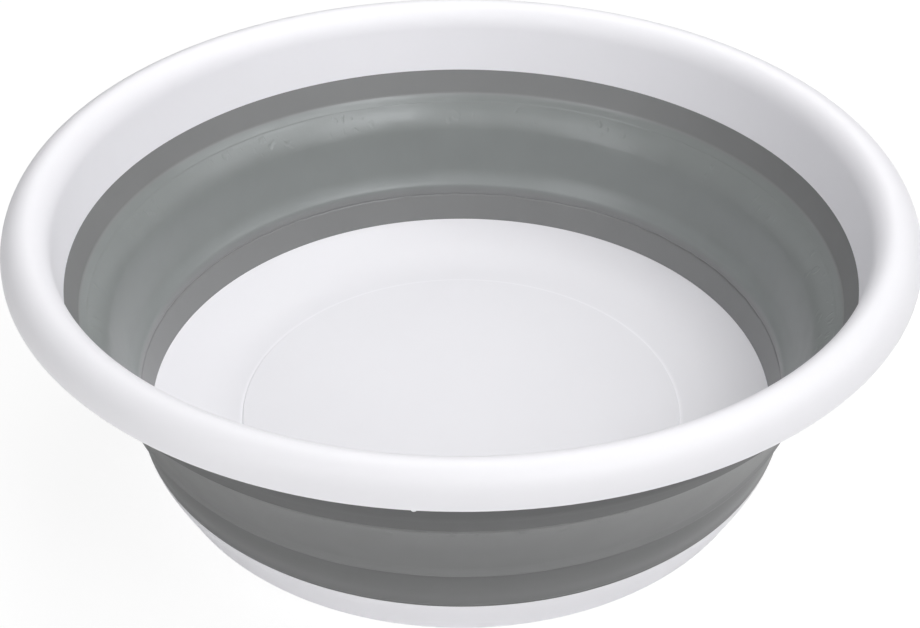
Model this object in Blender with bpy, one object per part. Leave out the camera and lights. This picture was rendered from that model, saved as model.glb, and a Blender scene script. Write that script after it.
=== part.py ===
"""Round folding basin: a stiff rim and a stiff base joined by a soft wall that folds flat.

Metres, +Z up. The origin is on the axis, in the plane that the foot stands on.
Every piece is turned about the Z axis, so a section is a list of (radius, height) points.
"""

from math import cos, pi, radians, sin, sqrt

import bmesh
import bpy

SEGMENTS = 64
GAP = 0.0003

# Base: a dish with a raised disc in its floor, standing on a thin conical skirt
FOOT_WIDTH = 0.0026
FOOT_EDGE = 0.0008
SKIRT_WALL = 0.0022
SKIRT_LEAN = 0.0081
FLANGE_PROUD = 0.0005
FLANGE_RISE = 0.0020
FLOOR_Z = 0.0052
FLOOR_WALL = 0.0022
DISC_R = 0.0972
DISC_RISE = 0.0005
DISC_LAND = 0.0028
DISH_EDGE_R = 0.1364
DISH_EDGE_Z = 0.0179
DISH_STEPS = 6

# Rib of the base that the wall is moulded over
RIB_HEIGHT = 0.0042
RIB_WALL = 0.0010
RIB_INSET = 0.0011

# Soft wall: three stiff bands with a fold between each two
LOWER_BAND_HEIGHT = 0.0127
LOWER_BAND_LEAN = 0.0027
LOWER_BAND_WALL = 0.0035
LOWER_GROOVE_RISE = 0.0080
LOWER_GROOVE_WALL = 0.0011
LOWER_LEDGE_HEIGHT = 0.0024
LOWER_LEDGE_WIDTH = 0.0026
MIDDLE_BAND_HEIGHT = 0.0479
MIDDLE_BAND_LEAN = 0.0198
UPPER_BAND_HEIGHT = 0.0099
UPPER_BAND_LEAN = 0.0046
UPPER_BAND_WALL = 0.0036
UPPER_GROOVE_DEPTH = 0.0023
UPPER_GROOVE_HEIGHT = 0.0027
SHOULDER_WIDTH = 0.0145
SHOULDER_DROP = 0.0070
ANKLE_WIDTH = 0.0056
ANKLE_RISE = 0.0125
BULGE_WIDTH = 0.0095
BULGE_DROP = 0.0065
WAIST_WIDTH = 0.0040
WAIST_RISE = 0.0155
CURVE_STEPS = 8

# Where the folds end and the stiff middle band begins
UPPER_FOLD_HEIGHT = 0.0058
LOWER_FOLD_HEIGHT = 0.0066

# Rim: an upright band rolled over into a hollow crown that ends in a free lip
RIM_WALL = 0.0023
RIM_BAND_HEIGHT = 0.0199
RIM_BAND_DRAFT = 0.0003
CROWN_WIDTH = 0.0212
CROWN_HEIGHT = 0.0122
LIP_DROP = 0.0006
CROWN_STEPS = 10
CROWN_INNER_STEPS = 8

# Collar of the soft wall, moulded round the outside of the rim's band
COLLAR_WALL = 0.0018
COLLAR_HEIGHT = 0.0090
COLLAR_BEND = 0.0012

# Heights and radii that follow from the sizes above
FLANGE_R = DISH_EDGE_R + LOWER_BAND_WALL + FLANGE_PROUD
FLANGE_Z = DISH_EDGE_Z + FLANGE_RISE
FOOT_R = FLANGE_R - SKIRT_LEAN
LOWER_CREASE_R = DISH_EDGE_R + LOWER_BAND_LEAN
LOWER_CREASE_Z = DISH_EDGE_Z + LOWER_BAND_HEIGHT
UPPER_CREASE_R = LOWER_CREASE_R + MIDDLE_BAND_LEAN
UPPER_CREASE_Z = LOWER_CREASE_Z + MIDDLE_BAND_HEIGHT
BORDER_R = UPPER_CREASE_R + UPPER_BAND_LEAN
BORDER_Z = UPPER_CREASE_Z + UPPER_BAND_HEIGHT
CROWN_Z = BORDER_Z + RIM_BAND_HEIGHT
CROWN_IN_R = BORDER_R + RIM_BAND_DRAFT


def bezier(start, start_arm, end_arm, end, steps):
    """Points of a cubic curve; each arm is the offset of a handle from its own end."""
    handles = [
        start,
        (start[0] + start_arm[0], start[1] + start_arm[1]),
        (end[0] + end_arm[0], end[1] + end_arm[1]),
        end,
    ]
    points = []
    for i in range(steps + 1):
        t = i / steps
        weights = [(1 - t) ** 3, 3 * t * (1 - t) ** 2, 3 * t * t * (1 - t), t**3]
        r = sum(w * h[0] for w, h in zip(weights, handles))
        z = sum(w * h[1] for w, h in zip(weights, handles))
        points.append((r, z))
    return points


def stretch(face, low, high):
    """The part of a rising face between two heights, with its ends cut level."""
    points = []
    for (r0, z0), (r1, z1) in zip(face, face[1:]):
        for level in (low, high):
            if z0 < level < z1:
                t = (level - z0) / (z1 - z0)
                points.append((r0 + t * (r1 - r0), level))
        if low <= z1 <= high:
            points.append((r1, z1))
    if low <= face[0][1] <= high:
        points.insert(0, face[0])
    return sorted(points, key=lambda point: point[1])


def inner_wall_face():
    """Inner face of the soft wall, from the edge of the dish up to the rim's band."""
    middle = bezier(
        (LOWER_CREASE_R, LOWER_CREASE_Z),
        (ANKLE_WIDTH, ANKLE_RISE),
        (-SHOULDER_WIDTH, -SHOULDER_DROP),
        (UPPER_CREASE_R, UPPER_CREASE_Z),
        CURVE_STEPS,
    )
    return [(DISH_EDGE_R, DISH_EDGE_Z)] + middle + [(BORDER_R, BORDER_Z)]


def outer_wall_face():
    """Outer face of the soft wall, from the base's flange up to the end of the collar."""
    groove_z = LOWER_CREASE_Z + LOWER_GROOVE_RISE
    inner_at_groove = stretch(inner_wall_face(), groove_z, BORDER_Z)[0][0]
    groove_r = inner_at_groove + LOWER_GROOVE_WALL
    foot_r = DISH_EDGE_R + LOWER_BAND_WALL
    ledge = (groove_r + LOWER_LEDGE_WIDTH, groove_z + LOWER_LEDGE_HEIGHT)
    corner_r = UPPER_CREASE_R + UPPER_BAND_WALL
    notch_r = corner_r - UPPER_GROOVE_DEPTH
    middle = bezier(
        ledge,
        (WAIST_WIDTH, WAIST_RISE),
        (-BULGE_WIDTH, -BULGE_DROP),
        (notch_r, UPPER_CREASE_Z - UPPER_GROOVE_HEIGHT),
        CURVE_STEPS,
    )
    collar_r = BORDER_R + RIM_WALL + GAP + COLLAR_WALL
    collar = [
        (collar_r - COLLAR_BEND / 2, BORDER_Z - COLLAR_BEND),
        (collar_r, BORDER_Z + COLLAR_BEND),
        (collar_r, BORDER_Z + COLLAR_HEIGHT),
    ]
    start = [(foot_r, FLANGE_Z + GAP), (groove_r, groove_z)]
    notch = [(notch_r, UPPER_CREASE_Z - UPPER_GROOVE_HEIGHT / 2), (corner_r, UPPER_CREASE_Z)]
    return start + middle + notch + collar


def band_section(low, high):
    """Section of a stretch of the wall between two heights."""
    outer = stretch(outer_wall_face(), low, high)
    inner = stretch(inner_wall_face(), low, high)
    return outer[::-1] + inner


def rib_points(clearance):
    """The base's rib, or with a clearance the groove it fills, from its outer foot over its top."""
    lean = LOWER_BAND_LEAN / LOWER_BAND_HEIGHT * RIB_HEIGHT
    inner = DISH_EDGE_R + RIB_INSET - clearance
    outer = DISH_EDGE_R + RIB_INSET + RIB_WALL + clearance
    top = DISH_EDGE_Z + RIB_HEIGHT + clearance
    return [(outer, seat_z(outer)), (outer + lean, top), (inner + lean, top), (inner, seat_z(inner))]


def seat_z(radius):
    """Height of the base's sloping top edge, which the wall stands on."""
    t = (radius - DISH_EDGE_R) / (FLANGE_R - DISH_EDGE_R)
    return DISH_EDGE_Z + t * (FLANGE_Z - DISH_EDGE_Z)


def lower_band_section():
    top = LOWER_CREASE_Z + LOWER_GROOVE_RISE
    outer = stretch(outer_wall_face(), FLANGE_Z, top)
    groove = [(r, z + (GAP if z < DISH_EDGE_Z + RIB_HEIGHT else 0)) for r, z in rib_points(GAP)]
    inner = stretch(inner_wall_face(), DISH_EDGE_Z + GAP, top)
    return outer[::-1] + groove + inner


def upper_band_section():
    """The upper band with its collar; the rim's band stands on the step between them."""
    low = UPPER_CREASE_Z + GAP
    outer = stretch(outer_wall_face(), low, BORDER_Z + COLLAR_HEIGHT)
    inner = stretch(inner_wall_face(), low, BORDER_Z)
    collar_inner_r = BORDER_R + RIM_WALL + GAP
    step = [(collar_inner_r, BORDER_Z), (collar_inner_r, BORDER_Z + COLLAR_HEIGHT)]
    return outer[::-1] + inner + step


def rim_section():
    width = CROWN_WIDTH / 2
    centre = CROWN_IN_R + width
    crown = []
    for i in range(CROWN_STEPS + 1):
        angle = pi * i / CROWN_STEPS
        crown.append((centre + width * cos(angle), CROWN_Z + CROWN_HEIGHT * sin(angle)))
    hollow = []
    for i in range(CROWN_INNER_STEPS + 1):
        angle = pi * (1 - i / CROWN_INNER_STEPS)
        r = centre + (width - RIM_WALL) * cos(angle)
        hollow.append((r, CROWN_Z + (CROWN_HEIGHT - RIM_WALL) * sin(angle)))
    lip_r = centre + width
    band = [(BORDER_R, BORDER_Z + GAP), (BORDER_R + RIM_WALL, BORDER_Z + GAP)]
    lip = [(lip_r - RIM_WALL, CROWN_Z - LIP_DROP), (lip_r, CROWN_Z - LIP_DROP)]
    return crown + band + hollow + lip


def dish_arc(offset):
    """The dish's upper face between the disc and the edge, or its underside at an offset."""
    start = DISC_R + DISC_LAND
    width = DISH_EDGE_R - start
    rise = DISH_EDGE_Z - FLOOR_Z
    radius = (width**2 + rise**2) / (2 * rise)
    points = []
    for i in range(DISH_STEPS + 1):
        across = width * i / DISH_STEPS
        up = radius - sqrt(radius**2 - across**2)
        slope = across / radius
        points.append((start + across + offset * slope, FLOOR_Z + up - offset * sqrt(1 - slope**2)))
    return points


def base_section():
    floor = [(0, FLOOR_Z + DISC_RISE), (DISC_R - DISC_RISE, FLOOR_Z + DISC_RISE), (DISC_R, FLOOR_Z)]
    seat = [(FLANGE_R, FLANGE_Z)]
    foot_inner = FOOT_R - FOOT_WIDTH
    foot = [(FOOT_R, FOOT_EDGE), (FOOT_R - FOOT_EDGE, 0), (foot_inner, 0)]
    taper = (FLANGE_R - FOOT_R) / FLANGE_Z
    under = dish_arc(FLOOR_WALL)[:-1]
    root_r, root_z = under[-1]
    skirt_top = (FOOT_R + taper * root_z - SKIRT_WALL, root_z)
    rib = rib_points(0)[::-1]
    centre = [(0, FLOOR_Z - FLOOR_WALL)]
    return floor + dish_arc(0) + rib + seat + foot + [skirt_top] + under[::-1] + centre


def turn(name, section, material):
    """Spin a closed section about the Z axis into one named solid."""
    bm = bmesh.new()
    verts = [bm.verts.new((r, 0, z)) for r, z in section]
    edges = [bm.edges.new((a, b)) for a, b in zip(verts, verts[1:])]
    if section[0][0] > 0:
        edges.append(bm.edges.new((verts[-1], verts[0])))
    bmesh.ops.spin(
        bm,
        geom=verts + edges,
        cent=(0, 0, 0),
        axis=(0, 0, 1),
        angle=2 * pi,
        steps=SEGMENTS,
        use_duplicate=False,
    )
    bmesh.ops.remove_doubles(bm, verts=bm.verts, dist=1e-6)
    bmesh.ops.dissolve_degenerate(bm, edges=bm.edges, dist=1e-7)
    bmesh.ops.recalc_face_normals(bm, faces=bm.faces)
    mesh = bpy.data.meshes.new(name)
    bm.to_mesh(mesh)
    bm.free()
    mesh.shade_smooth()
    mesh.set_sharp_from_angle(angle=radians(28))
    mesh.materials.append(material)
    piece = bpy.data.objects.new(name, mesh)
    bpy.context.scene.collection.objects.link(piece)
    return piece


def plastic(name, colour, roughness):
    material = bpy.data.materials.new(name)
    material.use_nodes = True
    shader = material.node_tree.nodes["Principled BSDF"]
    shader.inputs["Base Color"].default_value = (*colour, 1)
    shader.inputs["Roughness"].default_value = roughness
    shader.inputs["Metallic"].default_value = 0
    return material


def build():
    for old in list(bpy.data.objects):
        bpy.data.objects.remove(old)

    rim_plastic = plastic("rim_plastic", (0.84, 0.84, 0.86), 0.38)
    base_plastic = plastic("base_plastic", (0.83, 0.83, 0.85), 0.42)
    upper_rubber = plastic("upper_band_rubber", (0.20, 0.20, 0.20), 0.50)
    fold_rubber = plastic("upper_fold_rubber", (0.21, 0.21, 0.21), 0.46)
    middle_rubber = plastic("middle_band_rubber", (0.22, 0.22, 0.22), 0.50)
    ankle_rubber = plastic("lower_fold_rubber", (0.21, 0.21, 0.21), 0.46)
    lower_rubber = plastic("lower_band_rubber", (0.20, 0.20, 0.20), 0.50)

    upper_fold_low = UPPER_CREASE_Z - UPPER_FOLD_HEIGHT
    lower_fold_low = LOWER_CREASE_Z + LOWER_GROOVE_RISE + GAP
    lower_fold_high = lower_fold_low + LOWER_FOLD_HEIGHT

    turn("base", base_section(), base_plastic)
    turn("lower_wall_band", lower_band_section(), lower_rubber)
    turn("lower_fold_ring", band_section(lower_fold_low, lower_fold_high), ankle_rubber)
    middle = band_section(lower_fold_high + GAP, upper_fold_low - GAP)
    turn("middle_wall_band", middle, middle_rubber)
    turn("upper_fold_ring", band_section(upper_fold_low, UPPER_CREASE_Z), fold_rubber)
    turn("upper_wall_band", upper_band_section(), upper_rubber)
    turn("rim", rim_section(), rim_plastic)


build()
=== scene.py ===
from math import cos, exp, hypot, pi, radians, sin, sqrt

import bmesh
import bpy
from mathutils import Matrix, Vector, noise


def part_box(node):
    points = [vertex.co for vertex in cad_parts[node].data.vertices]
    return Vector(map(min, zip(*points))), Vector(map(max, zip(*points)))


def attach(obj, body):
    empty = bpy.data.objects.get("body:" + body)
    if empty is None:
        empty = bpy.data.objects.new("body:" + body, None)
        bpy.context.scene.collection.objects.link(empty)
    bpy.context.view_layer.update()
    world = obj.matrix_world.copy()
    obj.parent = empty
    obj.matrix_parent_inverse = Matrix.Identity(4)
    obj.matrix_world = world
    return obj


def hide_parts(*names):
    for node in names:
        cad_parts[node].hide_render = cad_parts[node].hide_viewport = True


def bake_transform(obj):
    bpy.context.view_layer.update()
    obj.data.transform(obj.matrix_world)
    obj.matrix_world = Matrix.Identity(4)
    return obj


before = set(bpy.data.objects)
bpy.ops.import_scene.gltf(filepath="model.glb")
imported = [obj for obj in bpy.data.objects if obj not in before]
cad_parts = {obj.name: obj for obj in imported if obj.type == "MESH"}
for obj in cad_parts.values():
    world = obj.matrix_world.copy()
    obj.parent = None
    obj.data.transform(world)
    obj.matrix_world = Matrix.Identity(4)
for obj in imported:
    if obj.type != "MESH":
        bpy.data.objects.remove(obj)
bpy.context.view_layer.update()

# Base: one white polypropylene moulding, a shallow dish that stands on a thin conical skirt.
# A disc stands a little proud in the middle of its floor, and the moulding's gate is below it.
# The upright rib round its edge is buried in the soft wall, which is moulded over it.
base_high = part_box("base")[1]
ring_steps = 256
flange_width = 0.0046
flange_rise = 0.0023
flange_radius = base_high.x
rib_rise = 0.0045
rib_top = base_high.z
dish_edge_radius = flange_radius - flange_width
dish_edge_height = rib_top - rib_rise
flange_height = dish_edge_height + flange_rise
disc_radius = 0.0972
disc_height = 0.0059
disc_draft = 0.0004
floor_height = 0.0052
floor_land_radius = 0.1000
floor_wall = 0.0022
skirt_wall = 0.0022
foot_radius = 0.1323
foot_width = 0.0026
rib_inset = 0.0017
rib_radius = dish_edge_radius + rib_inset
rib_wall = 0.0010
rib_lean = 0.0009
rib_root_inside = 0.0004
rib_root_outside = 0.0008


def start_ring(name, radius, height, steps, fill="NOTHING"):
    """A new piece: one round ring of edges about the axis, selected, in edit mode."""
    bpy.ops.object.select_all(action="DESELECT")
    bpy.ops.mesh.primitive_circle_add(
        vertices=steps, radius=radius, fill_type=fill, location=(0, 0, height)
    )
    piece = bpy.context.object
    piece.name = name
    piece.data.name = name
    bpy.ops.object.transform_apply(location=True, rotation=True, scale=True)
    bpy.ops.object.mode_set(mode="EDIT")
    bpy.ops.mesh.select_mode(type="EDGE")
    bpy.ops.mesh.select_all(action="SELECT")
    if fill != "NOTHING":
        bpy.ops.mesh.region_to_loop()
    return piece


def draw_out(start, places):
    """Extrude the selected ring from its start through places, each a radius and a height."""
    radius, height = start
    for next_radius, next_height in places:
        climb = (0, 0, next_height - height)
        bpy.ops.mesh.extrude_edges_move(TRANSFORM_OT_translate={"value": climb})
        widen = next_radius / radius
        bpy.ops.transform.resize(value=(widen, widen, 1), center_override=(0, 0, 0))
        radius, height = next_radius, next_height


def soften(piece, width, corners, segments=3, reach=0.00003):
    """Round the rings of edges that run through the given corners of the outline."""
    bpy.ops.mesh.select_all(action="DESELECT")
    cage = bmesh.from_edit_mesh(piece.data)
    for edge in cage.edges:
        for radius, height in corners:
            off = [hypot(hypot(v.co.x, v.co.y) - radius, v.co.z - height) for v in edge.verts]
            if max(off) < reach:
                edge.select_set(True)
    bmesh.update_edit_mesh(piece.data)
    bpy.ops.mesh.bevel(offset=width, segments=segments, affect="EDGES")


def finish_turned(piece, sharp_angle=radians(50)):
    """Point the faces outwards and shade the turned piece smooth, flats kept flat."""
    bpy.ops.mesh.select_all(action="SELECT")
    bpy.ops.mesh.normals_make_consistent(inside=False)
    bpy.ops.object.mode_set(mode="OBJECT")
    bpy.ops.object.shade_smooth_by_angle(angle=sharp_angle)
    flats = piece.modifiers.new("flats", "WEIGHTED_NORMAL")
    flats.keep_sharp = True
    bpy.ops.object.modifier_apply(modifier=flats.name)


def shifted(place, across, up):
    """A place of the outline, moved out from the axis and up."""
    return (place[0] + across, place[1] + up)


def curve(start, start_arm, end_arm, end, steps):
    """Places along a cubic curve, without its first; an arm is a handle's offset from its end."""
    handles = [start, shifted(start, *start_arm), shifted(end, *end_arm), end]
    places = []
    for i in range(1, steps + 1):
        t = i / steps
        weights = [(1 - t) ** 3, 3 * t * (1 - t) ** 2, 3 * t * t * (1 - t), t**3]
        radius = sum(w * h[0] for w, h in zip(weights, handles))
        height = sum(w * h[1] for w, h in zip(weights, handles))
        places.append((radius, height))
    return places


def dish_curve(offset, steps):
    """The dish's face from the flat land to its edge, or its underside at an offset."""
    width = dish_edge_radius - floor_land_radius
    depth = dish_edge_height - floor_height
    bend = (width**2 + depth**2) / (2 * depth)
    places = []
    for i in range(steps + 1):
        across = width * i / steps
        slope = across / bend
        up = bend - sqrt(bend**2 - across**2)
        radius = floor_land_radius + across + offset * slope
        places.append((radius, floor_height + up - offset * sqrt(1 - slope**2)))
    return places


# The underside stops short of the dish's edge, where the skirt grows out of it.
hub_radius = 0.0012
gate_radius = 0.0045
gate_depth = 0.0005
gate_top = floor_height - floor_wall + gate_depth
under_height = floor_height - floor_wall
places_under_skirt = 2
under_curve = dish_curve(floor_wall, steps=16)[:-places_under_skirt]
skirt_taper = (flange_radius - foot_radius) / flange_height
skirt_root_height = under_curve[-1][1]
skirt_root = (foot_radius + skirt_taper * skirt_root_height - skirt_wall, skirt_root_height)
rib = [
    (rib_radius, dish_edge_height + rib_root_inside),
    (rib_radius + rib_lean, rib_top),
    (rib_radius + rib_lean + rib_wall, rib_top),
    (rib_radius + rib_wall, dish_edge_height + rib_root_outside),
]
flange_edge = (flange_radius, flange_height)
foot_outside = (foot_radius, 0)
foot_inside = (foot_radius - foot_width, 0)
outline = (
    [(disc_radius, disc_height), (disc_radius + disc_draft, floor_height)]
    + dish_curve(0, steps=24)
    + rib
    + [flange_edge]
    + curve(
        flange_edge,
        start_arm=(-0.0008, -0.0056),
        end_arm=(0.0021, 0.0052),
        end=foot_outside,
        steps=10,
    )
    + [foot_inside, skirt_root]
    + under_curve[::-1]
    + [(disc_radius, under_height), (gate_radius, under_height)]
    + [(gate_radius, gate_top), (hub_radius, gate_top)]
)
base = start_ring("basin_base", hub_radius, disc_height, ring_steps, fill="TRIFAN")
draw_out((hub_radius, disc_height), outline)
bpy.ops.mesh.extrude_edges_move(TRANSFORM_OT_translate={"value": (0, 0, 0)})
bpy.ops.mesh.merge(type="CENTER")
soften(base, width=0.0002, corners=[(disc_radius, disc_height)], segments=2)
soften(base, width=0.0001, corners=[flange_edge], segments=2)
soften(base, width=0.0005, corners=[foot_outside])
soften(base, width=0.0003, corners=[foot_inside])
finish_turned(base)


def shader_group(name, inputs, outputs):
    """A new shader group with named sockets, and its two end nodes."""
    group = bpy.data.node_groups.new(name, "ShaderNodeTree")
    for socket, kind in inputs:
        group.interface.new_socket(socket, in_out="INPUT", socket_type=kind)
    for socket, kind in outputs:
        group.interface.new_socket(socket, in_out="OUTPUT", socket_type=kind)
    return group, group.nodes.new("NodeGroupInput"), group.nodes.new("NodeGroupOutput")


def moulded_skin():
    """Shader group for a moulded surface: the tool's fine grain and the faint clouding in it."""
    number = "NodeSocketFloat"
    group, entry, leave = shader_group(
        "moulded_skin",
        [("Place", "NodeSocketVector"), ("Grain Scale", number), ("Cloud Scale", number)],
        [("Grain", number), ("Cloud", number)],
    )
    for output, detail, roughness in (("Grain", 3, 0.6), ("Cloud", 4, 0.55)):
        texture = group.nodes.new("ShaderNodeTexNoise")
        texture.inputs["Detail"].default_value = detail
        texture.inputs["Roughness"].default_value = roughness
        group.links.new(entry.outputs["Place"], texture.inputs["Vector"])
        group.links.new(entry.outputs[output + " Scale"], texture.inputs["Scale"])
        group.links.new(texture.outputs["Fac"], leave.inputs[output])
    return group


def outward_painted_shade():
    """Shader group that paints shade: a colour times a tone, by how far the surface leans out."""
    number, paint = "NodeSocketFloat", "NodeSocketColor"
    group, entry, leave = shader_group(
        "outward_painted_shade",
        [("Colour", paint), ("Tone", paint)]
        + [("Outward", number), ("Start", number), ("End", number)],
        [("Colour", paint), ("Mask", number)],
    )
    mask = group.nodes.new("ShaderNodeMapRange")
    mask.interpolation_type = "SMOOTHSTEP"
    group.links.new(entry.outputs["Outward"], mask.inputs["Value"])
    group.links.new(entry.outputs["Start"], mask.inputs["From Min"])
    group.links.new(entry.outputs["End"], mask.inputs["From Max"])
    deeper = group.nodes.new("ShaderNodeMix")
    deeper.data_type = "RGBA"
    deeper.blend_type = "MULTIPLY"
    group.links.new(mask.outputs["Result"], deeper.inputs["Factor"])
    group.links.new(entry.outputs["Colour"], deeper.inputs["A"])
    group.links.new(entry.outputs["Tone"], deeper.inputs["B"])
    group.links.new(deeper.outputs["Result"], leave.inputs["Colour"])
    group.links.new(mask.outputs["Result"], leave.inputs["Mask"])
    return group


skin_group = moulded_skin()
lean_shade_group = outward_painted_shade()


def moulded_material(name, dark, light, smooth, rough, grain, clouds, bump, attribute=None):
    """A moulded plastic: two near colours clouded together, a varied polish and a fine grain."""
    material = bpy.data.materials.new(name)
    material.use_nodes = True
    nodes = material.node_tree.nodes
    links = material.node_tree.links
    shader = nodes["Principled BSDF"]
    if attribute:
        place = nodes.new("ShaderNodeAttribute")
        place.attribute_name = attribute
        place_out = place.outputs["Vector"]
    else:
        place = nodes.new("ShaderNodeTexCoord")
        place_out = place.outputs["Object"]
    place.name = "place"
    skin = nodes.new("ShaderNodeGroup")
    skin.node_tree = skin_group
    skin.inputs["Grain Scale"].default_value = grain
    skin.inputs["Cloud Scale"].default_value = clouds
    links.new(place_out, skin.inputs["Place"])
    colour = nodes.new("ShaderNodeMix")
    colour.name = "colour"
    colour.data_type = "RGBA"
    colour.inputs["A"].default_value = (*dark, 1)
    colour.inputs["B"].default_value = (*light, 1)
    links.new(skin.outputs["Cloud"], colour.inputs["Factor"])
    links.new(colour.outputs["Result"], shader.inputs["Base Color"])
    polish = nodes.new("ShaderNodeMapRange")
    polish.name = "polish"
    polish.inputs["To Min"].default_value = smooth
    polish.inputs["To Max"].default_value = rough
    links.new(skin.outputs["Cloud"], polish.inputs["Value"])
    links.new(polish.outputs["Result"], shader.inputs["Roughness"])
    relief = nodes.new("ShaderNodeBump")
    relief.name = "relief"
    relief.inputs["Strength"].default_value = 1
    relief.inputs["Distance"].default_value = bump
    links.new(skin.outputs["Grain"], relief.inputs["Height"])
    links.new(relief.outputs["Normal"], shader.inputs["Normal"])
    return material


def mark_outward(piece):
    """Store at each point how far its surface leans out from the axis, from -1 to 1."""
    lean = piece.data.attributes.new("outward", "FLOAT", "POINT")
    for vertex in piece.data.vertices:
        lean.data[vertex.index].value = vertex.co.xy.normalized().dot(vertex.normal.xy)


def paint_lean_shade(material, start, end, tone):
    """Paint shade into a material's colour, by a tone: none of it at the lean start, all at end.
    """
    nodes = material.node_tree.nodes
    links = material.node_tree.links
    lean = nodes.new("ShaderNodeAttribute")
    lean.attribute_name = "outward"
    toned = nodes.new("ShaderNodeGroup")
    toned.node_tree = lean_shade_group
    toned.inputs["Start"].default_value = start
    toned.inputs["End"].default_value = end
    toned.inputs["Tone"].default_value = (tone, tone, tone, 1)
    links.new(lean.outputs["Fac"], toned.inputs["Outward"])
    links.new(nodes["colour"].outputs["Result"], toned.inputs["Colour"])
    links.new(toned.outputs["Colour"], nodes["Principled BSDF"].inputs["Base Color"])
    return toned


mark_outward(base)
white_plastic = moulded_material(
    "satin_white_plastic",
    dark=(0.898, 0.892, 0.928),
    light=(0.932, 0.926, 0.960),
    smooth=0.36,
    rough=0.48,
    grain=2200,
    clouds=14,
    bump=0.00002,
)
# Painted shade: the faces that do not lean out, the dish among them, are darkened, so the skirt
# stays lighter.
paint_lean_shade(white_plastic, start=0.5, end=0.1, tone=0.915)
base.data.materials.append(white_plastic)
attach(base, "base")
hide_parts("base")

# Wall: one grey thermoplastic rubber moulding, cast over the base's rib below and the rim's
# Its three stiff bands are joined by two thin bends.
# The bends keep slight creases from the folding, and the outside is darkened by painted shade.
lower_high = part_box("lower_wall_band")[1]
fold_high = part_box("upper_fold_ring")[1]
upper_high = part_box("upper_wall_band")[1]
rim_low, rim_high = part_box("rim")
wall_steps = 512
seat_gap = 0.00003
solid_gap = 0.0003
rim_wall = 0.0023
collar_radius = upper_high.x
collar_top = upper_high.z
collar_wall = 0.0018
collar_gap = 0.00025
collar_inner = collar_radius - collar_wall - collar_gap
border_radius = collar_radius - collar_wall - solid_gap - rim_wall
border_height = rim_low.z - solid_gap

# The inside, from the base up: a crease, a roll, a long swelling flank and the upper band.
crease_low = (0.13900, 0.0297)
crease_deep = (0.13950, 0.0304)
roll_low = (0.13905, 0.0312)
roll_middle = (0.13995, 0.03615)
ankle_top = (0.1435, 0.0432)
belly = (0.1482, 0.0629)
step_low = (0.15585, 0.07425)
step_high = (0.15598, 0.07466)
shoulder_top = (0.15896, 0.07825)
band_low = (0.15898, 0.07858)
inner_face = (
    [crease_low, crease_deep, roll_low]
    + curve(roll_low, (0, 0.0024), (-0.0008, -0.0011), roll_middle, steps=10)
    + curve(roll_middle, (0.0013, 0.0018), (-0.0009, -0.0026), ankle_top, steps=12)
    + curve(ankle_top, (0.0017, 0.0049), (-0.0017, -0.0054), belly, steps=10)
    + curve(belly, (0.0015, 0.0044), (-0.0029, -0.0027), step_low, steps=20)
    + [step_high]
    + curve(step_high, (0.0011, 0.0011), (-0.0007, -0.0014), shoulder_top, steps=8)
    + [band_low, (border_radius, border_height)]
)

# The collar round the rim's band, with a slope at the foot of its outside.
slope_inset = 0.0006
slope_half_height = 0.0012
top_edge = [
    (collar_inner, border_height),
    (collar_inner, collar_top),
    (collar_radius, collar_top),
    (collar_radius, border_height + slope_half_height),
    (collar_radius - slope_inset, border_height - slope_half_height),
]

# The outside, from the collar down: a notch, the flank, a ledge and the groove under it.
corner = (fold_high.x, fold_high.z)
groove = (lower_high.x, lower_high.z)
notch_high = shifted(corner, across=-0.0010, up=-0.0009)
notch_low = shifted(corner, across=-0.0021, up=-0.0026)
haunch = (0.1540, 0.0692)
ledge = shifted(groove, across=0.0034, up=0.0023)
ledge_top = shifted(ledge, across=-0.0004, up=0.0022)
groove_top = (0.1418, groove[1])
groove_foot = (0.1417, 0.0300)
flange_seat = shifted(flange_edge, across=-0.00005, up=seat_gap)
outer_face = (
    [corner, notch_high, notch_low]
    + curve(notch_low, (-0.0030, -0.0030), (0.0012, 0.0024), haunch, steps=12)
    + curve(haunch, (-0.0040, -0.0080), (0.0008, 0.0060), ledge_top, steps=16)
    + [ledge, groove_top]
    + curve(groove_top, (-0.0002, -0.0020), (0.0001, 0.0030), groove_foot, steps=8)
    + curve(groove_foot, (-0.0001, -0.0040), (0.0002, 0.0040), flange_seat, steps=8)
)

# The foot, round the base's rib.
toe_gap = 0.00002
heel_rise = 0.0009
foot_edge = [
    (rib_radius + rib_wall + seat_gap, dish_edge_height + heel_rise),
    (rib_radius + rib_lean + rib_wall + seat_gap, rib_top + seat_gap),
    (rib_radius + rib_lean - seat_gap, rib_top + seat_gap),
    (rib_radius - seat_gap, dish_edge_height + rib_root_inside),
]


def join_ends():
    """Close a turned wall by bridging its two open rings."""
    bpy.ops.mesh.select_all(action="DESELECT")
    bpy.ops.mesh.select_non_manifold()
    bpy.ops.mesh.bridge_edge_loops()


def ripple(place, length):
    """A smooth, repeatable wave of about the given length, from -1 to 1."""
    return 2 * noise.noise(place / length)


def ramp(height, start, reach):
    """How far a height is past a start, from 0 to 1 over a reach that is up or down."""
    return min(1, max(0, (height - start) / reach))


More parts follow.
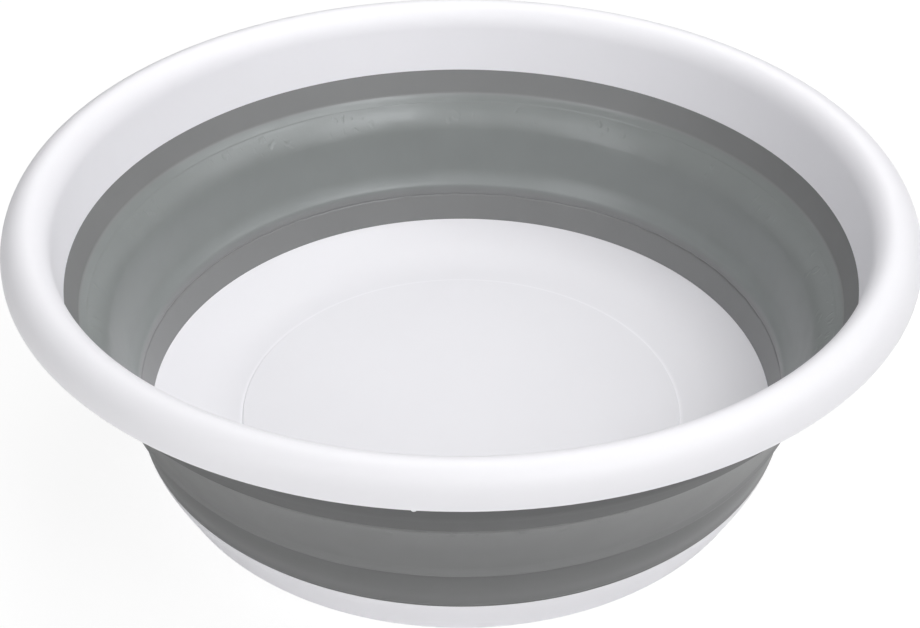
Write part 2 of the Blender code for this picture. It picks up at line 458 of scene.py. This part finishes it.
def crumple(piece):
    """Move the points of the rubber a little off their moulded places, as folding leaves them."""
    mean_radius = 0.150
    crease_reach = 0.0013
    # each crease: its place, the length of its ripples and how far they move it
    creases = [(crease_deep, 0.0065, 0.00028), (step_high, 0.0100, 0.00016)]
    cage = bmesh.from_edit_mesh(piece.data)
    for point in cage.verts:
        radius = hypot(point.co.x, point.co.y)
        height = point.co.z
        outward = Vector((point.co.x / radius, point.co.y / radius, 0))
        around = outward * mean_radius
        middle = ramp(height, start=0.034, reach=0.010) * ramp(height, start=0.0775, reach=-0.006)
        long_waver = 0.00016 * ripple(point.co, length=0.034)
        short_waver = 0.00008 * ripple(point.co * 1.7, length=0.018)
        point.co += outward * middle * (long_waver + short_waver)
        for marked, length, shift in creases:
            apart = hypot(radius - marked[0], height - marked[1])
            point.co.z += shift * exp(-((apart / crease_reach) ** 2)) * ripple(around, length)
    bmesh.update_edit_mesh(piece.data)


foot_start = (dish_edge_radius + toe_gap, dish_edge_height + toe_gap)
wall = start_ring("soft_wall", *foot_start, wall_steps)
draw_out(foot_start, inner_face + top_edge + outer_face + foot_edge)
join_ends()
soften(wall, width=0.0005, corners=[corner], segments=4)
soften(wall, width=0.0004, corners=[ledge])
soften(wall, width=0.0004, corners=[(collar_radius, collar_top)])
soften(wall, width=0.0004, corners=[groove_top])
soften(wall, width=0.0003, corners=[crease_low, crease_deep, roll_low, step_high])
crumple(wall)
finish_turned(wall)

# The rubber's texture is tied to the places where its points were moulded.
moulded_place = wall.data.attributes.new("moulded_place", "FLOAT_VECTOR", "POINT")
for vertex in wall.data.vertices:
    moulded_place.data[vertex.index].vector = vertex.co
mark_outward(wall)
rubber = moulded_material(
    "grey_rubber",
    dark=(0.2345, 0.2365, 0.2355),
    light=(0.264, 0.266, 0.265),
    smooth=0.26,
    rough=0.38,
    grain=2600,
    clouds=45,
    bump=0.00003,
    attribute="moulded_place",
)
rubber_nodes = rubber.node_tree.nodes
rubber_links = rubber.node_tree.links
rubber_shader = rubber_nodes["Principled BSDF"]
rubber_place = rubber_nodes["place"].outputs["Vector"]
split = rubber_nodes.new("ShaderNodeSeparateXYZ")
rubber_links.new(rubber_place, split.inputs["Vector"])
height_out = split.outputs["Z"]


def product(first, second):
    """Multiply two of the rubber's node outputs."""
    times = rubber_nodes.new("ShaderNodeMath")
    times.operation = "MULTIPLY"
    rubber_links.new(first, times.inputs[0])
    rubber_links.new(second, times.inputs[1])
    return times.outputs["Value"]


def rise(source, low, high):
    """Turn one of the rubber's node outputs into a smooth mask, from 0 at low to 1 at high."""
    step = rubber_nodes.new("ShaderNodeMapRange")
    step.interpolation_type = "SMOOTHSTEP"
    step.inputs["From Min"].default_value = low
    step.inputs["From Max"].default_value = high
    rubber_links.new(source, step.inputs["Value"])
    return step.outputs["Result"]


def height_band(low_edge, high_edge):
    """A mask for a band of heights; each soft edge is given as where it is 0 and where it is 1."""
    return product(rise(height_out, *low_edge), rise(height_out, *high_edge))


def speckle(source, scale, low, high):
    """A noise over the rubber, cut to the patches where it is over low."""
    patches = rubber_nodes.new("ShaderNodeTexNoise")
    patches.inputs["Scale"].default_value = scale
    patches.inputs["Detail"].default_value = 1
    rubber_links.new(source, patches.inputs["Vector"])
    return rise(patches.outputs["Fac"], low, high)


def tinted(colour, factor, tint):
    """Multiply the rubber's colour by a tint, as far as the factor says."""
    mix = rubber_nodes.new("ShaderNodeMix")
    mix.data_type = "RGBA"
    mix.blend_type = "MULTIPLY"
    mix.inputs["B"].default_value = (*tint, 1)
    rubber_links.new(factor, mix.inputs["Factor"])
    rubber_links.new(colour, mix.inputs["A"])
    return mix.outputs["Result"]


# Masks for the parts of the wall, by height and by which way the surface leans.
# Painted shade: the wall's outside, which leans out, is darkened by the tone.
outside = paint_lean_shade(rubber, start=-0.25, end=-0.05, tone=0.69)
outer_mask = outside.outputs["Mask"]
inner_mask = rise(outer_mask, 0.6, 0.2)
foot_mask = rise(height_out, 0.036, 0.032)
groove_shade_mask = height_band((0.0290, 0.0375), (0.0412, 0.0390))
roll_highlight_mask = height_band((0.0340, 0.0365), (0.0430, 0.0385))
ledge_highlight_mask = height_band((0.0402, 0.0412), (0.0460, 0.0430))
middle_sheen_mask = height_band((0.032, 0.036), (0.0785, 0.0765))
shoulder_highlight_mask = height_band((0.0640, 0.0715), (0.0790, 0.0775))
bulge_mask = height_band((0.0645, 0.0680), (0.0742, 0.0728))
crown_shadow_mask = product(rise(height_out, 0.0730, 0.0788), outer_mask)
lower_crown_shadow_mask = product(rise(height_out, 0.0885, 0.0855), crown_shadow_mask)
border_mask = rise(height_out, 0.0776, 0.0790)
rubber_colour = outside.outputs["Colour"]
for mask, tint in (
    # painted sheen: a greenish cast on the inside of the middle band
    (product(middle_sheen_mask, inner_mask), (0.95, 1.0, 0.985)),
    # painted shade in the groove under the ledge, outside
    (product(groove_shade_mask, outer_mask), (0.88, 0.88, 0.88)),
    (foot_mask, (0.92, 0.92, 0.92)),
    # painted shadow of the rim's crown on the outside of the upper band
    (crown_shadow_mask, (0.68, 0.68, 0.68)),
    (product(border_mask, inner_mask), (0.84, 0.84, 0.84)),
    # more painted shade on the lower half of that band
    (lower_crown_shadow_mask, (0.87, 0.87, 0.87)),
    # painted highlight on the inside of the shoulder
    (product(shoulder_highlight_mask, inner_mask), (1.06, 1.06, 1.065)),
    # painted highlight on the roll above the lower crease, inside
    (product(roll_highlight_mask, inner_mask), (1.07, 1.07, 1.08)),
    # painted highlight on the edge of the outside ledge
    (product(ledge_highlight_mask, outer_mask), (1.10, 1.10, 1.10)),
):
    rubber_colour = tinted(rubber_colour, mask, tint)
rubber_links.new(rubber_colour, rubber_shader.inputs["Base Color"])

# The upper band is matt, and the rubber's sheen is a little cool.
matt_roughness = 0.55
matt_band = rubber_nodes.new("ShaderNodeMix")
matt_band.inputs["B"].default_value = matt_roughness
rubber_links.new(border_mask, matt_band.inputs["Factor"])
rubber_links.new(rubber_nodes["polish"].outputs["Result"], matt_band.inputs["A"])
rubber_links.new(matt_band.outputs["Result"], rubber_shader.inputs["Roughness"])
rubber_shader.inputs["Specular IOR Level"].default_value = 0.65
rubber_shader.inputs["Specular Tint"].default_value = (0.94, 0.97, 1.0, 1)

# Small upright scuffs, in clusters on the bulge below the shoulder.
stretch = rubber_nodes.new("ShaderNodeMapping")
stretch.inputs["Scale"].default_value = (1, 1, 0.4)
rubber_links.new(rubber_place, stretch.inputs["Vector"])
nicks = speckle(stretch.outputs["Vector"], scale=280, low=0.56, high=0.70)
clusters = speckle(rubber_place, scale=45, low=0.46, high=0.62)
dents = rubber_nodes.new("ShaderNodeBump")
dents.invert = True
dents.inputs["Strength"].default_value = 1
dents.inputs["Distance"].default_value = 0.00020
rubber_links.new(product(product(nicks, clusters), bulge_mask), dents.inputs["Height"])
rubber_links.new(rubber_nodes["relief"].outputs["Normal"], dents.inputs["Normal"])
rubber_links.new(dents.outputs["Normal"], rubber_shader.inputs["Normal"])
wall.data.materials.append(rubber)
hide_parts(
    "lower_wall_band",
    "lower_fold_ring",
    "middle_wall_band",
    "upper_fold_ring",
    "upper_wall_band",
)
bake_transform(wall)

# Rim: one stiff white polypropylene moulding, an upright band that rolls over into a wide crown.
# The crown is hollow below and ends in a free lip, so that fingers fit under it.
# The wall's collar is moulded round the outside of the band, flush with it inside.
crown_height = 0.0122
rim_radius = rim_high.x
band_lean = 0.0020
crown_width = rim_radius - border_radius - band_lean
crown_base = rim_high.z - crown_height
crown_middle = rim_radius - crown_width / 2
lip_drop = 0.0006
waist_rise = 0.0010


def crown_curve(thinner, steps):
    """Half of an ellipse over the crown's middle, from the band's side over to the lip's."""
    places = []
    for i in range(steps + 1):
        angle = pi * (1 - i / steps)
        radius = crown_middle + (crown_width / 2 - thinner) * cos(angle)
        places.append((radius, crown_base + (crown_height - thinner) * sin(angle)))
    return places


band_inner = (border_radius, border_height + seat_gap)
band_outer = (border_radius + rim_wall, border_height + seat_gap)
band_waist = (border_radius + rim_wall, collar_top + waist_rise)
lip_edge = crown_base - lip_drop
lip_outside = (rim_radius, lip_edge)
lip_inside = (rim_radius - rim_wall, lip_edge)
crown = crown_curve(0, steps=32)
hollow = crown_curve(rim_wall, steps=24)[::-1]
rim = start_ring("rim_crown", *band_inner, ring_steps)
draw_out(band_inner, crown + [lip_outside, lip_inside] + hollow + [band_waist, band_outer])
join_ends()
soften(rim, width=0.0007, corners=[lip_outside], segments=4)
soften(rim, width=0.0004, corners=[lip_inside])
finish_turned(rim)

# The nub that the moulding's gate left under the lip, a little left of the front.
nub_bearing = radians(265.3)
nub_inset = 0.0006
nub_place = (rim_radius - nub_inset) * Vector((cos(nub_bearing), sin(nub_bearing), 0))
bpy.ops.object.select_all(action="DESELECT")
bpy.ops.mesh.primitive_uv_sphere_add(
    segments=16, ring_count=10, radius=0.0009, scale=(1, 0.6, 0.6)
)
nub = bpy.context.object
bpy.ops.object.shade_smooth()
nub.location = nub_place + Vector((0, 0, lip_edge))
nub.rotation_euler.z = nub_bearing + pi / 2
bpy.ops.object.transform_apply(location=True, rotation=True, scale=True)
rim.select_set(True)
bpy.context.view_layer.objects.active = rim
bpy.ops.object.join()
mark_outward(rim)
rim_plastic = moulded_material(
    "glossy_white_plastic",
    dark=(0.924, 0.918, 0.952),
    light=(0.948, 0.942, 0.976),
    smooth=0.42,
    rough=0.54,
    grain=1800,
    clouds=10,
    bump=0.00002,
)
# Painted shade: the rim is darkened towards its outward-facing side, so the band inside stays
# lighter.
paint_lean_shade(rim_plastic, start=-0.9, end=0.9, tone=0.85)
rim.data.materials.append(rim_plastic)
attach(rim, "rim")
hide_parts("rim")

# Studio: the photograph's viewpoint, looking down into the basin from the front.
# The basin stands on a plain white sweep among nine large soft lamps, two of them overhead.
camera_data = bpy.data.cameras.new("camera")
camera_data.sensor_width = 36
camera_data.lens = 63.2
camera_data.clip_start = 0.01
camera = bpy.data.objects.new("camera", camera_data)
bpy.context.scene.collection.objects.link(camera)
camera_place = Vector((0, -0.5683, 0.4577))
camera_aim = Vector((-0.0005, 0, 0.0541))
camera.location = camera_place
camera.rotation_mode = "QUATERNION"
camera.rotation_quaternion = (camera_aim - camera_place).to_track_quat("-Z", "Y")
bpy.context.scene.camera = camera

# The camera sees a floor that shines white and takes a faint shadow; the lamps see a pale one.
floor_colour_for_light = (0.94, 0.94, 0.94, 1)
floor_colour_for_camera = (0.17, 0.17, 0.17, 1)
floor_glow = 0.88
bpy.ops.object.select_all(action="DESELECT")
bpy.ops.mesh.primitive_plane_add(size=12)
floor = bpy.context.object
floor.name = "studio_floor"
floor_paint = bpy.data.materials.new("white_floor")
floor_paint.use_nodes = True
paint_nodes = floor_paint.node_tree.nodes
paint_links = floor_paint.node_tree.links
matt = paint_nodes["Principled BSDF"]
matt.inputs["Roughness"].default_value = 0.9
matt.inputs["Specular IOR Level"].default_value = 0
ray = paint_nodes.new("ShaderNodeLightPath")
shade = paint_nodes.new("ShaderNodeMix")
shade.data_type = "RGBA"
shade.inputs["A"].default_value = floor_colour_for_light
shade.inputs["B"].default_value = floor_colour_for_camera
paint_links.new(ray.outputs["Is Camera Ray"], shade.inputs["Factor"])
paint_links.new(shade.outputs["Result"], matt.inputs["Base Color"])
glow = paint_nodes.new("ShaderNodeEmission")
glow.inputs["Color"].default_value = (1, 1, 1, 1)
seen = paint_nodes.new("ShaderNodeMath")
seen.operation = "MULTIPLY"
seen.inputs[1].default_value = floor_glow
both = paint_nodes.new("ShaderNodeAddShader")
paint_links.new(ray.outputs["Is Camera Ray"], seen.inputs[0])
paint_links.new(seen.outputs["Value"], glow.inputs["Strength"])
paint_links.new(matt.outputs["BSDF"], both.inputs[0])
paint_links.new(glow.outputs["Emission"], both.inputs[1])
paint_links.new(both.outputs["Shader"], paint_nodes["Material Output"].inputs["Surface"])
floor.data.materials.append(floor_paint)

# Beyond the floor the camera sees white, which gives no light.
world = bpy.data.worlds.new("studio_air")
bpy.context.scene.world = world
world.use_nodes = True
sky = world.node_tree.nodes["Background"]
sky.inputs["Color"].default_value = (1, 1, 1, 1)
sky_ray = world.node_tree.nodes.new("ShaderNodeLightPath")
world.node_tree.links.new(sky_ray.outputs["Is Camera Ray"], sky.inputs["Strength"])

lamp_distance = 1.6
lamp_aim = Vector((0, 0, 0.05))


def soft_box(name, bearing, lift, size, power):
    """A square soft lamp aimed at the basin, at a bearing round from +X and a lift, in degrees."""
    lamp_data = bpy.data.lights.new(name, "AREA")
    lamp_data.size = size
    lamp_data.energy = power
    lamp = bpy.data.objects.new(name, lamp_data)
    bpy.context.scene.collection.objects.link(lamp)
    across = lamp_distance * cos(radians(lift))
    up = lamp_distance * sin(radians(lift))
    away = Vector((across * cos(radians(bearing)), across * sin(radians(bearing)), up))
    lamp.location = away + lamp_aim
    lamp.rotation_mode = "QUATERNION"
    lamp.rotation_quaternion = (-away).to_track_quat("-Z", "Y")


soft_box("right_overhead", bearing=0, lift=65, size=0.8, power=7.2)
soft_box("back_overhead", bearing=90, lift=65, size=0.8, power=7.5)
soft_box("front_key", bearing=302, lift=51, size=0.5, power=4.9)
soft_box("low_key", bearing=315, lift=36, size=0.8, power=4.9)
soft_box("front_fill", bearing=270, lift=35, size=0.8, power=2.8)
soft_box("left_fill", bearing=225, lift=35, size=0.8, power=4.3)
soft_box("low_left_fill", bearing=220, lift=11, size=0.6, power=4.4)
soft_box("right_fill", bearing=0, lift=35, size=0.8, power=3.5)
soft_box("back_fill", bearing=90, lift=35, size=0.8, power=2.7)

bpy.context.scene.view_settings.view_transform = "Standard"
